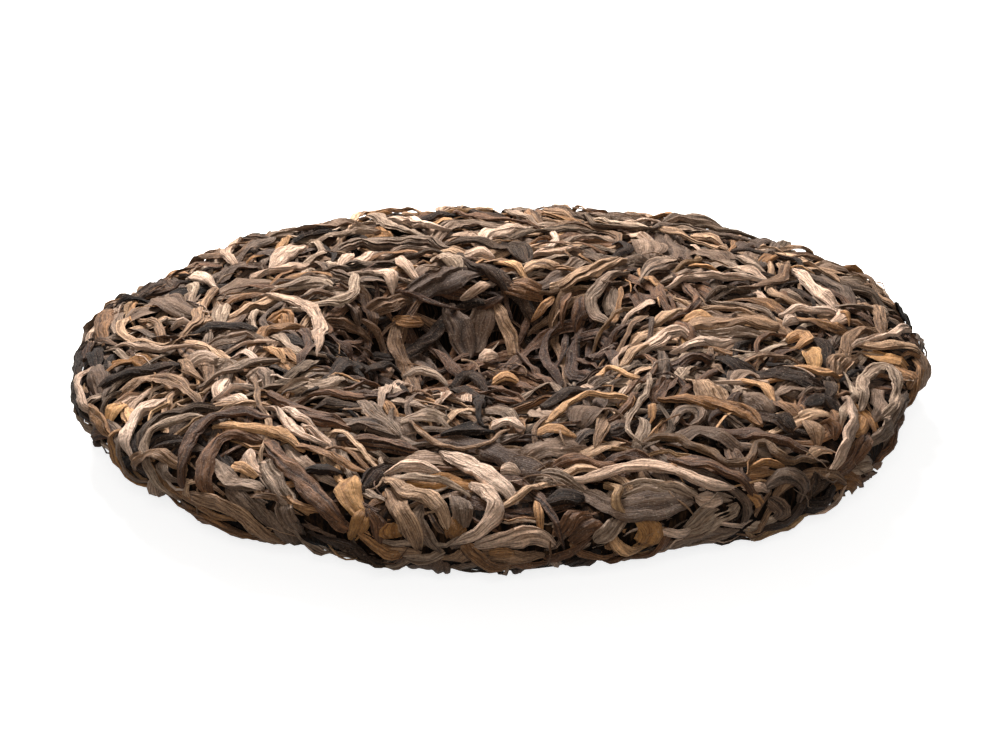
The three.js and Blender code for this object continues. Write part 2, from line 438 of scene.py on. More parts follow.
RIBBON = 0.34  # thickness of an open leaf's folds, over its width
DEEPEST_FOLD = 1.5
SHEET = 0.4  # thickness of the sheet itself
UNROLLED = (1.0, 1.3)  # width of an open leaf, over that of the same leaf rolled up
SKEW = (0.75, 1.35)  # below 1 a leaf is widest before its middle, and above 1 after it
BROKEN_OFF = (0.04, 0.22)  # share of the whole spindle that a broken tip lacks
TILT = 0.3  # of a leaf's section against the skin, in radians
TURN = 0.3  # how far the tilt changes along the leaf
NARROW = 3.0  # wider leaves lie flatter


def broken_end(kind):
    return rng.uniform(*BROKEN_OFF) if rng.random() < kind.broken else 0.0


def leeway(width):
    """How much of the usual tilt a leaf has"""
    return min(1.0, NARROW / width)


def new_leaf(kind, sink, width=None, is_open=None):
    """A leaf of a kind, with a width and an open or rolled form of its own unless they are given"""
    if is_open is None:
        is_open = rng.random() < kind.open
    if width is None:
        width = skewed(kind.width) * (rng.uniform(*UNROLLED) if is_open else 1.0)
    thickness = width * rng.uniform(*kind.flatness)
    if is_open:
        thickness = max(SHEET, min(RIBBON * width, DEEPEST_FOLD))
    ends = broken_end(kind), 1 - broken_end(kind)
    tilt = rng.normal(0, TILT) * leeway(width)
    bluntness, skew = rng.uniform(*kind.bluntness), rng.uniform(*SKEW)
    return Leaf(kind, width, thickness, bluntness, skew, ends, tilt, rng.uniform(*sink), is_open)


DIVE = 1.7  # how deep tips go, so that leaves laid later can lie over them
DIVE_RUN = 6.0  # from a tip to where the leaf reaches the surface
COVERED = 0.55  # a tip that is deeper leaves its spot open
STIFFNESS = 2.4  # a leaf clears what it dives under by this much on both sides
OPEN_DEPTH = 0.2  # a spot counts as open while its free space starts less deep
LEAST_UNDER = 1.5 * OPEN_DEPTH  # so that no spot under a leaf still counts as open
SQUEEZE = 0.84  # pressed leaves share this much of their width with nobody
ROUNDNESS = 0.97  # of a rolled leaf's upper side, where 1 is a full half circle


def dive(shares, length):
    """How deep each place of a leaf goes below its middle"""
    from_tip = np.minimum(shares, 1 - shares) * length
    return DIVE * (1 - smoothstep(from_tip, 0, min(DIVE_RUN, 0.4 * length)))


@dataclass
class Place:
    """Where a leaf comes to lie: how deep its top is along it, and how much of it covers open spots"""

    shares: np.ndarray
    tops: np.ndarray
    spots: np.ndarray = None
    arch: np.ndarray = None  # of the leaf's upper side, across it
    open: float = 1.0


def seek(leaf, route, limit=OPEN_DEPTH):
    """The place that a leaf finds in the pile along a route"""
    count = max(5, int(route.length / CELL) + 1)
    shares = np.linspace(0, 1, count)
    points, _, sides = route.at(shares)
    across = np.linspace(-1, 1, max(3, int(leaf.width * SQUEEZE / CELL) + 2))
    half = leaf.swell(shares) * leaf.width * SQUEEZE / 2
    spots = pile.spots_at(points[:, None] + sides[:, None] * (half[:, None] * across)[..., None])
    arch = np.ones(len(across)) if leaf.open else np.sqrt(1 - ROUNDNESS * across**2)
    free = pile.depth[spots]
    need = (free - leaf.thickness / 2 * (1 - arch)).max(axis=1)
    reach = max(1, round(STIFFNESS / CELL))
    tops = windows(windows(need, reach).max(axis=0), reach).mean(axis=0)
    tops = np.maximum(np.maximum(tops, 0) + leaf.sink, dive(shares, route.length) + leaf.sink)
    return Place(shares, tops, spots, arch, float((free < limit).mean()))


def press(leaf, route, place):
    """Takes up the space under a leaf"""
    height = leaf.swell(place.shares) * leaf.thickness / 2
    under = np.maximum(place.tops[:, None] + height[:, None] * (1 + place.arch), LEAST_UNDER)
    held = dive(place.shares, route.length) < COVERED
    np.maximum.at(pile.depth, place.spots[held].ravel(), under[held].ravel())


OVERTONES = np.array([1, 1.7, 2.9])  # frequencies in a smooth wander
WEAKER = np.array([1, 2.0, 4.0])  # by how much each of them is weaker


def slow_noise(shares, length, amount, wavelength):
    """A smooth random wander along a leaf"""
    turns = length / wavelength * rng.uniform(0.7, 1.3, 3) * OVERTONES
    phases = rng.uniform(0, 2 * np.pi, 3)
    waves_along = np.sin(2 * np.pi * shares[:, None] * turns + phases) / WEAKER
    return amount * waves_along.sum(axis=1)


def kinks(shares, length, amount, spacing):
    """A random wander along a leaf with crisp bends"""
    count = max(3, round(length / spacing * rng.uniform(0.8, 1.2)) + 1)
    return np.interp(shares, np.linspace(0, 1, count), rng.normal(0, amount, count))


def wander(shares, length, slow, crisp):
    """A random wander along a leaf, part of it smooth and part with crisp bends"""
    return slow_noise(shares, length, *slow) + kinks(shares, length, *crisp)


# Wanders, each as the size and the wavelength of its smooth and of its crisp part
SWELLING = (0.06, 9), (0.05, 4)
STRAND_SWELLING = (0.05, 9), (0.05, 4)
FOLD_WANDER = (0.1, 16), (0.04, 5)
HEAVING = (0.16, 8), (0.08, 6)
WEAVE = (0.1, 12)  # smooth only
FOLD_HEIGHTS = (0.25, 6)  # crisp only, as the next three are
RUFFLE = (0.16, 3.5)
TORN_LEFT, TORN_RIGHT = (0.07, 2.6), (0.07, 2.2)
DRIFT_WAVE, DRIFT_KINKS = 14, (0.2, 7)  # a leaf's kind gives the size of the smooth part
TILT_WAVE, TILT_KINK = 18, 6

LAPPED = 0.5  # share of open leaves whose strands overlap like the layers of a roll
OPEN_STEP = 0.42  # between corners across an open leaf
EDGE_CURL = 0.16  # of an open leaf, over its width
CURLS = (-0.5, 1.0)  # how much of that one edge has, up or down
EDGE_THINNING = 0.8  # of the sheet, at its very edge
UNEVENNESS = 0.22  # of the strands' widths
LAP_RISE = 0.6  # power of a lapped strand's rise


def open_section(leaf, shares, length, fineness):
    """An open leaf's section: a thin sheet in strands with creases between them, its edges curled and torn"""
    half = max(4, round(leaf.width / OPEN_STEP * fineness))
    line = np.linspace(1, -1, half)
    x = np.concatenate([line, line[::-1]])
    upper = np.repeat([1, -1], half)
    across = x + wander(shares, length, *FOLD_WANDER)[:, None]
    strands = leaf.width / rng.uniform(*leaf.kind.strand)
    uneven = across + UNEVENNESS * np.sin(2.6 * across + rng.uniform(0, 2 * np.pi))
    turns = strands / 2 * uneven + rng.uniform(0, 1)
    if rng.random() < LAPPED:
        fold = (turns % 1) ** LAP_RISE
    else:
        fold = np.abs(np.sin(np.pi * turns))
    fold = fold * (0.75 + 0.25 * np.sin(4.1 * across + rng.uniform(0, 2 * np.pi)))
    height = max(0.0, leaf.thickness - SHEET) / 2 * (1 + kinks(shares, length, *FOLD_HEIGHTS))[:, None]
    curls = rng.uniform(*CURLS, 2) * leaf.width * EDGE_CURL
    curl = np.where(x > 0, curls[0], curls[1]) * np.abs(x) ** 3
    ruffle = kinks(shares, length, *RUFFLE)[:, None] * x * np.abs(x)
    y = height * (2 * fold - 1) - curl + ruffle + SHEET / 2 * upper * (1 - EDGE_THINNING * x**4)
    left, right = kinks(shares, length, *TORN_LEFT), kinks(shares, length, *TORN_RIGHT)
    edge = 1 + np.where(x > 0, left[:, None], right[:, None])
    # how far each corner stands out of the folds' creases, which sets the painted shade there
    ridge = 1 - rng.uniform(*WRINKLED) * (1 - np.clip(0.15 + fold, 0, 1)) * np.ones(edge.shape)
    return leaf.width / 2 * x * edge, y, ridge


def squared(wave):
    return np.sign(wave) * np.abs(wave) ** 0.8


def roll_section(leaf, shares, length, per_lobe):
    """A rolled leaf's section: strands with creases between them, twisting and slowly changing"""
    angle, radius, ridge = rolled_section(leaf.kind, per_lobe)
    change = 1 + np.stack([wander(shares, length, *STRAND_SWELLING) for _ in angle], 1)
    weave = np.stack([slow_noise(shares, length, *WEAVE) for _ in angle], 1)
    twist = rng.uniform(-1, 1) * leaf.kind.twist * length * shares + rng.uniform(0, 2 * np.pi)
    turned = angle + twist[:, None] + weave * (ridge > 0)
    x = leaf.width / 2 * radius * change * squared(np.cos(turned))
    y = leaf.thickness / 2 * radius * change * squared(np.sin(turned))
    return x, y, np.broadcast_to(ridge, x.shape)


TIP_RING = 0.35  # from a tip to the first ring
FRAY = 0.22  # how far a broken end's corners stand out of line
FINE = 0.7  # fineness above which a lobe has three corners instead of two


def make(leaf, route, place, name, tone, fineness, spacing):
    """Makes a laid leaf's mesh"""
    length = route.length
    inner = np.linspace(TIP_RING / length, 1 - TIP_RING / length, max(4, int(length / spacing) + 1))
    shares = np.concatenate([[0], inner, [1]])
    points, normals, sides = route.at(shares)
    tops = np.interp(shares, place.shares, place.tops)
    full = leaf.swell(inner) * (1 + wander(inner, length, *SWELLING))
    if leaf.open:
        x, y, ridge = open_section(leaf, inner, length, fineness)
        height = leaf.thickness / 2 * np.ones(len(inner))
    else:
        x, y, ridge = roll_section(leaf, inner, length, 3 if fineness > FINE else 2)
        height = full * leaf.thickness / 2
    turn = TURN * leeway(leaf.width)
    tilt = (leaf.tilt + wander(inner, length, (turn, TILT_WAVE), (turn / 3, TILT_KINK)))[:, None]
    x, y = x * np.cos(tilt) - y * np.sin(tilt), x * np.sin(tilt) + y * np.cos(tilt)
    drift = wander(shares, length, (leaf.kind.wobble, DRIFT_WAVE), DRIFT_KINKS) * leaf.swell(shares)
    heave = wander(shares, length, *HEAVING)
    middle = points + sides * drift[:, None] - normals * (tops + heave)[:, None]
    centre = middle[1:-1] - normals[1:-1] * height[:, None]
    rings = (centre[:, None] + sides[1:-1, None] * (x * full[:, None])[..., None]
             + normals[1:-1, None] * (y * np.sqrt(full)[:, None])[..., None])
    for end, other, broken in ((0, 1, leaf.ends[0] > 0), (-1, -2, leaf.ends[1] < 1)):
        if broken:
            outward = middle[end] - middle[other]
            outward = outward / np.linalg.norm(outward)
            rings[end] += outward * rng.normal(0, FRAY, rings.shape[1])[:, None]
    tips = middle[[0, -1]] - normals[[0, -1]] * height[[0, -1], None]
    lengths = inner * length
    girth = math.pi * (leaf.width + leaf.thickness) / 2
    batch(name).add(rings, tips, tone, ridge, lengths - lengths[0], girth)


# Standout leaves, traced along their middles over the photograph

@dataclass(frozen=True)
class Traced:
    """A leaf that stands out: its kind, width, tone from 0, dark, to 1, pale, and form, and its pixels"""

    kind: str
    width: float
    tone: float
    open: bool
    pixels: tuple


def rolled(kind, width, tone, *pixels):
    return Traced(kind, width, tone, False, pixels)


def opened(kind, width, tone, *pixels):
    return Traced(kind, width, tone, True, pixels)


def make_camera():
    camera = bpy.data.objects.new("camera", bpy.data.cameras.new("camera"))
    bpy.context.scene.collection.objects.link(camera)
    bpy.context.scene.camera = camera
    away = Vector((0, -math.cos(CAMERA_ELEVATION), math.sin(CAMERA_ELEVATION)))
    place = CAMERA_TARGET + away * CAMERA_DISTANCE
    turn = away.to_track_quat("Z", "Y").to_matrix().to_4x4() @ Matrix.Rotation(CAMERA_ROLL, 4, "Z")
    camera.matrix_world = Matrix.Translation(place * MM) @ turn
    camera.data.sensor_width = SENSOR
    camera.data.lens = PIXELS_PER_MM * CAMERA_DISTANCE / PHOTO_WIDTH * SENSOR
    camera.data.clip_end = 10
    return place, turn.to_3x3()


camera_place, camera_turn = make_camera()


def under_pixel(pixel):
    """The point of the skin that shows at a pixel of the photograph, or the nearest to its line of sight"""
    focal = PIXELS_PER_MM * CAMERA_DISTANCE
    ray = camera_turn @ Vector((pixel[0] - PHOTO_WIDTH / 2, PHOTO_HEIGHT / 2 - pixel[1], -focal)).normalized()
    hit = SKIN.ray_cast(camera_place, ray)
    if hit[0] is not None:
        return hit[0]
    tried = [SKIN.find_nearest(camera_place + ray * (CAMERA_DISTANCE + step)) for step in range(-110, 111, 4)]
    return min(tried, key=lambda found: found[3])[0]


def traced_route(pixels):
    points = np.array([under_pixel(pixel) for pixel in pixels], float)
    dense = spline(points, np.linspace(0, 1, 80))
    run = np.concatenate([[0], np.cumsum(np.linalg.norm(np.diff(dense, axis=0), axis=1))])
    marks = np.linspace(0, run[-1], max(3, round(run[-1] / STRIDE) + 1))
    even = np.stack([np.interp(marks, run, dense[:, axis]) for axis in range(3)], 1)
    return Route([nearest(Vector(point)) for point in even])


LEFT_RIM = [
    rolled(SILVER, 4.2, 0.7, (167, 393), (147, 404), (131, 420), (123, 437), (129, 461)),
    rolled(BLACK, 3.6, 0.75, (224, 399), (194, 404), (163, 412), (144, 426), (135, 447)),
    rolled(SILVER, 2.6, 0.6, (89, 362), (80, 373), (77, 389), (81, 402), (89, 416)),
    rolled(BLACK, 4.2, 0.2, (89, 334), (77, 353), (71, 372), (72, 391), (77, 408), (87, 425)),
    opened(TAN, 4.0, 0.9, (101, 421), (112, 408), (122, 396)),
    rolled(GOLDEN, 3.0, 0.85, (119, 397), (126, 407), (126, 419)),
    rolled(GOLDEN, 2.8, 1.0, (129, 400), (135, 408), (133, 416)),
    opened(TAN, 5.5, 0.35, (98, 366), (117, 360), (140, 358), (150, 363)),
    rolled(BLACK, 3.2, 0.25, (94, 384), (123, 372), (156, 364), (184, 358)),
    opened(TAUPE, 5.0, 0.55, (115, 391), (136, 379), (159, 375), (182, 384), (201, 397)),
    opened(SILVER, 3.8, 0.7, (184, 362), (198, 357), (222, 355)),
    opened(SILVER, 3.8, 0.85, (228, 351), (243, 351), (261, 357)),
    opened(GREY, 5.0, 0.6, (201, 361), (222, 359), (242, 364)),
    rolled(GREY, 3.0, 0.55, (194, 382), (219, 373), (243, 363), (266, 357), (282, 353)),
    rolled(SILVER, 2.6, 0.95, (209, 393), (232, 387), (251, 382), (261, 380)),
    rolled(GREY, 3.6, 0.5, (247, 373), (259, 367), (268, 376), (266, 386)),
    opened(TAUPE, 3.6, 0.35, (125, 473), (140, 457), (156, 451), (178, 463)),
    rolled(GREY, 3.0, 0.4, (154, 460), (163, 473), (173, 485)),
    opened(BLACK, 4.5, 0.3, (146, 444), (162, 437), (184, 432)),
    rolled(UMBER, 3.2, 0.15, (276, 412), (233, 412), (208, 418), (190, 436), (183, 464), (180, 492)),
    rolled(TAUPE, 3.4, 0.5, (181, 499), (199, 498), (229, 511), (253, 528), (272, 543), (296, 553)),
]

FRONT_LEFT = [
    opened(GOLDEN, 3.4, 0.9, (232, 457), (241, 466), (256, 469)),
    rolled(GOLDEN, 2.6, 0.8, (211, 421), (232, 424), (257, 427), (280, 432), (304, 446)),
    rolled(UMBER, 4.2, 0.45, (205, 498), (200, 475), (205, 453), (219, 438), (242, 430), (262, 436)),
    rolled(UMBER, 4.4, 0.5, (264, 434), (274, 450), (289, 466), (307, 483), (326, 508), (340, 528)),
    rolled(SILVER, 3.0, 0.6, (262, 402), (280, 412), (295, 430), (310, 438), (330, 441)),
    rolled(SILVER, 2.0, 0.8, (268, 403), (290, 409), (303, 417), (318, 423)),
    rolled(UMBER, 4.2, 0.3, (265, 384), (278, 397), (299, 406), (327, 416), (352, 424)),
    opened(GREY, 5.2, 0.75, (272, 386), (299, 380), (327, 378), (350, 370)),
    opened(GREY, 4.4, 0.6, (262, 452), (268, 470), (278, 486), (290, 500)),
    opened(GREY, 5.4, 0.45, (280, 496), (287, 520), (300, 543)),
    rolled(GREY, 3.8, 0.5, (213, 454), (221, 470), (233, 480), (251, 479), (262, 484)),
    rolled(BLACK, 4.8, 0.15, (304, 461), (323, 467), (342, 463)),
    rolled(GREY, 4.2, 0.35, (224, 480), (238, 498), (256, 519), (274, 533)),
    opened(BLACK, 4.0, 0.25, (216, 446), (226, 455), (232, 468)),
    rolled(SILVER, 2.8, 0.45, (300, 419), (318, 431), (334, 440)),
    rolled(SILVER, 1.8, 0.6, (302, 408), (316, 415), (330, 422)),
    rolled(UMBER, 4.0, 0.4, (300, 463), (321, 500), (344, 534)),
    rolled(GREY, 4.2, 0.25, (300, 401), (334, 413), (369, 422), (396, 433)),
    opened(GREY, 5.0, 0.55, (357, 392), (378, 410), (401, 429)),
    rolled(UMBER, 4.0, 0.25, (344, 431), (369, 438), (392, 442), (419, 444)),
    opened(TAN, 5.6, 0.8, (355, 469), (346, 485), (352, 499), (364, 509)),
    opened(TAN, 4.4, 0.6, (365, 500), (360, 521), (349, 545)),
]

FRONT_LIP = [
    rolled(BLACK, 3.8, 0.3, (300, 392), (330, 374), (360, 367), (390, 364), (403, 370)),
    opened(SILVER, 3.6, 0.6, (380, 400), (396, 386), (420, 381)),
    opened(SILVER, 4.0, 0.5, (427, 405), (447, 392), (468, 386)),
    rolled(GREY, 3.2, 0.6, (403, 372), (421, 370), (438, 375), (447, 382)),
    rolled(BLACK, 3.0, 0.3, (450, 382), (467, 373), (479, 379), (489, 388)),
    rolled(GREY, 3.2, 0.8, (399, 415), (424, 413), (449, 414)),
    rolled(BLACK, 3.2, 0.2, (495, 392), (480, 398), (478, 411), (491, 422)),
    rolled(SILVER, 3.6, 0.75, (491, 416), (507, 418), (525, 422)),
    rolled(GOLDEN, 2.2, 0.95, (538, 418), (552, 416), (566, 405), (585, 394), (608, 395), (638, 392)),
    rolled(GOLDEN, 2.6, 1.0, (589, 375), (605, 368), (621, 370), (640, 372)),
    rolled(TAUPE, 2.6, 0.7, (617, 360), (640, 344), (660, 335)),
    opened(GOLDEN, 3.0, 0.7, (533, 431), (545, 426), (560, 428), (578, 430)),
    opened(BLADE, 6.5, 0.5, (576, 417), (589, 407), (603, 400)),
    rolled(TAUPE, 3.0, 0.4, (605, 407), (604, 422), (596, 442)),
    rolled(SILVER, 3.2, 0.6, (500, 463), (510, 464), (520, 468)),
    rolled(BLACK, 3.4, 0.1, (440, 429), (465, 427), (495, 425)),
    opened(GREY, 3.4, 0.65, (512, 396), (533, 388), (556, 384), (575, 386)),
    rolled(BLACK, 2.6, 0.35, (540, 402), (565, 392), (590, 382)),
]

FRONT_SIDE = [
    rolled(SILVER, 4.8, 0.75, (438, 446), (461, 458), (484, 472), (507, 486), (519, 497)),
    rolled(SILVER, 3.8, 0.45, (470, 477), (487, 489), (496, 507), (482, 530), (449, 548)),
    rolled(SILVER, 3.4, 0.6, (380, 471), (399, 465), (422, 464), (442, 469)),
    rolled(TAUPE, 3.6, 0.75, (383, 473), (401, 488), (427, 495), (442, 510), (447, 529)),
    opened(TAUPE, 4.4, 0.6, (385, 479), (400, 508), (411, 534), (418, 560)),
    opened(TAN, 5.6, 0.5, (391, 522), (392, 543)),
    opened(BLACK, 4.4, 0.25, (401, 459), (380, 468), (360, 484)),
    opened(GREY, 4.2, 0.6, (536, 468), (559, 476), (585, 484)),
    rolled(STEM, 2.4, 0.75, (607, 476), (617, 494), (627, 512)),
    opened(BLADE, 8.0, 0.45, (584, 483), (615, 497), (652, 503), (695, 492)),
    opened(UMBER, 4.0, 0.2, (602, 456), (630, 453), (660, 452)),
    rolled(GREY, 3.6, 0.65, (628, 514), (614, 530), (596, 546)),
    rolled(BLACK, 4.8, 0.15, (543, 500), (564, 494), (585, 491)),
    rolled(GOLDEN, 2.2, 0.6, (534, 495), (540, 513), (542, 532)),
    opened(UMBER, 4.2, 0.5, (559, 539), (575, 512), (605, 499)),
    rolled(UMBER, 4.0, 0.3, (571, 548), (589, 526), (614, 507)),
    rolled(SILVER, 4.4, 0.3, (470, 551), (507, 539), (534, 537), (559, 551)),
    rolled(GOLDEN, 2.6, 0.55, (488, 556), (516, 557)),
    rolled(GOLDEN, 3.2, 0.9, (621, 528), (616, 543), (626, 554), (644, 552)),
    opened(TAN, 6.0, 0.6, (641, 519), (651, 535), (645, 552)),
    rolled(GREY, 4.0, 0.5, (420, 498), (414, 516), (426, 540), (440, 558)),
    rolled(UMBER, 3.4, 0.35, (365, 505), (374, 524), (378, 548)),
    opened(GREY, 4.4, 0.35, (455, 486), (462, 503), (462, 524)),
]

FRONT_RIGHT = [
    rolled(GOLDEN, 2.2, 0.8, (728, 377), (743, 378), (760, 384), (775, 397)),
    opened(BLADE, 5.0, 0.85, (730, 374), (748, 370), (766, 371)),
    opened(BLADE, 7.0, 0.6, (735, 386), (758, 393), (774, 402)),
    opened(UMBER, 6.0, 0.75, (774, 385), (787, 398), (803, 410)),
    opened(TAUPE, 6.6, 0.8, (688, 370), (701, 379), (712, 390), (720, 398)),
    rolled(GOLDEN, 3.4, 0.25, (657, 393), (690, 399), (722, 403), (751, 413), (762, 421)),
    rolled(GREY, 3.2, 0.45, (672, 421), (680, 408), (694, 405), (700, 413), (690, 419)),
    rolled(STEM, 2.3, 0.25, (644, 437), (668, 434), (690, 440), (709, 452), (730, 459), (746, 456),
           (762, 443), (775, 446), (790, 457), (808, 457), (822, 459)),
    opened(BLADE, 7.5, 0.35, (665, 431), (704, 428), (745, 440)),
    rolled(UMBER, 3.6, 0.15, (692, 424), (721, 424), (752, 429), (783, 438), (812, 447)),
    opened(BLACK, 5.5, 0.45, (745, 404), (772, 411), (798, 424)),
    rolled(SILVER, 3.9, 0.4, (560, 473), (590, 475), (625, 466), (655, 464), (685, 472), (712, 483),
           (738, 485)),
    rolled(GOLDEN, 2.6, 0.5, (749, 463), (768, 461), (787, 463)),
    opened(SILVER, 4.4, 0.55, (697, 490), (711, 497), (727, 491)),
    opened(GREY, 8.0, 0.8, (684, 540), (712, 521), (742, 500)),
    rolled(UMBER, 3.8, 0.3, (667, 452), (700, 461), (730, 470), (751, 485), (762, 502)),
    rolled(GREY, 3.6, 0.1, (767, 487), (780, 477), (799, 478), (809, 490), (803, 506)),
    rolled(GOLDEN, 2.2, 0.4, (752, 493), (760, 501), (764, 513)),
    rolled(SILVER, 3.0, 0.4, (843, 391), (853, 408), (852, 430), (841, 458), (829, 480)),
    opened(BLACK, 6.5, 0.3, (806, 397), (825, 395), (842, 405)),
    opened(UMBER, 3.8, 0.55, (820, 416), (831, 420), (838, 434)),
    rolled(TAUPE, 3.4, 0.4, (805, 414), (814, 428), (820, 441)),
    rolled(BLACK, 4.8, 0.1, (812, 512), (826, 505), (840, 488)),
    opened(BLACK, 4.0, 0.6, (822, 468), (818, 490), (806, 510)),
    opened(GREY, 4.0, 0.3, (775, 500), (784, 510), (780, 524)),
]

RIGHT_RIM = [
    rolled(GREY, 3.0, 0.75, (864, 405), (864, 380), (874, 366), (889, 364), (899, 378), (897, 400),
           (886, 414)),
    opened(BLADE, 4.8, 0.85, (876, 381), (883, 397), (881, 416)),
    rolled(UMBER, 4.8, 0.3, (874, 428), (862, 447), (847, 464), (832, 474)),
    opened(GREY, 4.6, 0.6, (900, 414), (889, 430), (873, 444)),
    opened(TAUPE, 5.0, 0.6, (837, 370), (843, 355), (860, 348)),
    opened(BLACK, 6.0, 0.35, (714, 348), (745, 362), (781, 369), (812, 379), (835, 384)),
    rolled(GOLDEN, 2.6, 0.65, (789, 359), (808, 367), (829, 372), (845, 370)),
    rolled(GOLDEN, 3.2, 0.8, (788, 334), (798, 330), (808, 335), (801, 342), (790, 343)),
    opened(TAN, 4.2, 0.9, (808, 343), (814, 353), (816, 363)),
    rolled(BLACK, 4.0, 0.4, (797, 323), (814, 332), (827, 343), (829, 362)),
    rolled(SILVER, 3.2, 0.6, (793, 263), (806, 278), (822, 292), (841, 303)),
    rolled(SILVER, 3.0, 0.7, (778, 309), (799, 305), (820, 307), (848, 307)),
    rolled(SILVER, 3.6, 0.7, (783, 318), (791, 316), (800, 315)),
    rolled(TAUPE, 5.2, 0.45, (678, 323), (709, 321), (743, 319), (780, 319)),
    rolled(GOLDEN, 3.6, 0.75, (682, 315), (699, 313), (718, 313)),
    opened(GREY, 4.6, 0.6, (701, 326), (722, 328), (743, 330), (772, 332)),
    rolled(SILVER, 4.0, 0.6, (636, 349), (657, 336), (684, 327), (694, 332)),
    rolled(SILVER, 3.0, 0.65, (669, 347), (693, 341), (716, 334), (743, 333)),
    rolled(SILVER, 3.6, 0.65, (663, 284), (684, 277), (712, 273), (743, 275), (770, 275)),
    opened(BLACK, 5.0, 0.8, (707, 294), (726, 288), (751, 284)),
    rolled(GREY, 6.0, 0.5, (640, 277), (655, 264), (676, 254)),
]

BACK_AND_DIMPLE = [
    opened(BLADE, 9.5, 0.55, (152, 292), (172, 300), (195, 308)),
    rolled(SILVER, 3.4, 0.2, (251, 290), (276, 295), (301, 301), (316, 312), (321, 326), (318, 350)),
    rolled(SILVER, 3.4, 0.7, (184, 272), (203, 276), (217, 282)),
    rolled(SILVER, 4.2, 0.6, (270, 263), (286, 250), (305, 240)),
    rolled(SILVER, 3.2, 0.75, (169, 322), (181, 320), (192, 318)),
    opened(GREY, 5.0, 0.5, (194, 342), (217, 338), (247, 332), (266, 334)),
    rolled(BLACK, 3.0, 0.2, (186, 328), (213, 324), (242, 324), (261, 326)),
    opened(GOLDEN, 3.6, 0.4, (268, 315), (282, 312), (288, 321)),
    rolled(SILVER, 4.6, 0.65, (385, 215), (410, 219), (433, 226), (452, 226)),
    rolled(SILVER, 4.2, 0.6, (475, 240), (498, 228), (531, 222)),
    rolled(GREY, 5.0, 0.35, (330, 247), (368, 240), (416, 238), (449, 244)),
    opened(BLACK, 7.5, 0.6, (496, 238), (512, 246), (527, 257)),
    opened(GREY, 7.0, 0.9, (430, 251), (449, 255), (462, 265)),
    rolled(SILVER, 3.2, 0.4, (397, 253), (407, 266), (420, 276)),
    rolled(SILVER, 3.2, 0.6, (372, 266), (387, 272), (395, 293)),
    rolled(SILVER, 3.2, 0.55, (464, 247), (480, 249), (495, 251)),
    rolled(TAUPE, 3.6, 0.75, (519, 265), (538, 261), (561, 261)),
    rolled(TAUPE, 4.2, 0.7, (630, 255), (598, 266), (569, 278), (548, 283)),
    rolled(GREY, 3.6, 0.5, (630, 265), (606, 276), (593, 296), (595, 313), (611, 320)),
    opened(UMBER, 5.0, 0.6, (506, 282), (523, 288), (541, 288)),
    opened(BLADE, 7.0, 0.2, (451, 299), (458, 324), (469, 351)),
    opened(BLADE, 6.0, 0.3, (484, 297), (483, 320), (474, 346)),
    rolled(TAUPE, 4.0, 0.5, (495, 299), (502, 314), (509, 333), (514, 350)),
    rolled(GOLDEN, 3.0, 0.35, (529, 320), (540, 309), (552, 293)),
    opened(GOLDEN, 3.2, 0.45, (396, 314), (408, 322), (425, 320)),
    rolled(UMBER, 3.0, 0.5, (570, 290), (563, 308), (560, 326)),
    rolled(UMBER, 3.0, 0.25, (582, 292), (577, 311), (571, 330)),
    opened(GREY, 4.6, 0.15, (351, 297), (355, 309), (365, 323)),
    rolled(SILVER, 3.6, 0.5, (478, 353), (488, 352), (499, 352)),
    rolled(GOLDEN, 4.2, 0.7, (492, 373), (506, 374), (521, 375)),
]

STANDOUTS = LEFT_RIM + FRONT_LEFT + FRONT_LIP + FRONT_SIDE + FRONT_RIGHT + RIGHT_RIM + BACK_AND_DIMPLE

TOP_DETAIL = (1.0, 1.5)  # fineness of a leaf's section, and millimetres between its rings
TRACED_BROKEN = 0.12  # chance of a broken tip
TRACED_SINK = (-0.6, 0.0)


def lay_standouts():
    for standout in STANDOUTS:
        kind = replace(KINDS[standout.kind], broken=TRACED_BROKEN)
        leaf = new_leaf(kind, TRACED_SINK, standout.width, standout.open)
        route = traced_route(standout.pixels)
        place = seek(leaf, route)
        press(leaf, route, place)
        make(leaf, route, place, standout.kind, standout.tone, *TOP_DETAIL)


# Leaves that fill the rest

SWIRL = 0.8  # how far the grain leans from running round the cake, in radians
SIDE_SWIRL = 0.6  # more of it on the side
SWIRLS = dict(count=5, shortest=30, step=9, turn=1.9, phase=2.3)
SPREAD = 0.5  # of single leaves from the grain
DOWN_WALL, DOWN_RIM = (0.4, 1.0), (0.3, 1.0)  # turns from round the cake to down it, in right angles
RIM_HEIGHT, RIM_RADIUS = 7.0, 76.0  # below and outside this the leaves run up and down the rim
WALL_FROM, WALL_TO = 22.0, 38.0  # where the dimple's wall turns the grain down into it
DIMPLE_LOWEST, DIMPLE_HIGHEST = WIDEST_HEIGHT - 5, THICKNESS - 0.8  # above the floor and below the lip
CURL = 0.22  # of a hooked tip, in radians a millimetre
CURL_FROM = 0.45  # share of the way from the middle to the tip


def grain(point, normal):
    """The direction in which the leaves lie near a point: round the cake or down the dimple, with swirls"""
    around = Vector((-point.y, point.x, 0))
    around = around.normalized() if around.length > 1 else Vector((1, 0, 0))
    swirl = SWIRL + SIDE_SWIRL * (1 - abs(normal.z))
    lean = swirl * float(waves(np.array(point[:]), **SWIRLS)) + rng.normal(0, SPREAD)
    from_dimple = math.hypot(point.x - DIMPLE[0], point.y - DIMPLE[1])
    if point.z > DIMPLE_LOWEST and rng.random() > smoothstep(from_dimple, WALL_FROM, WALL_TO):
        lean += math.pi / 2 * rng.uniform(*DOWN_WALL)
    if point.z < RIM_HEIGHT and math.hypot(point.x, point.y) > RIM_RADIUS:
        lean += math.pi / 2 * rng.choice([-1, 1]) * rng.uniform(*DOWN_RIM)
    down = normal.cross(around)
    return around * math.cos(lean) + down * math.sin(lean)


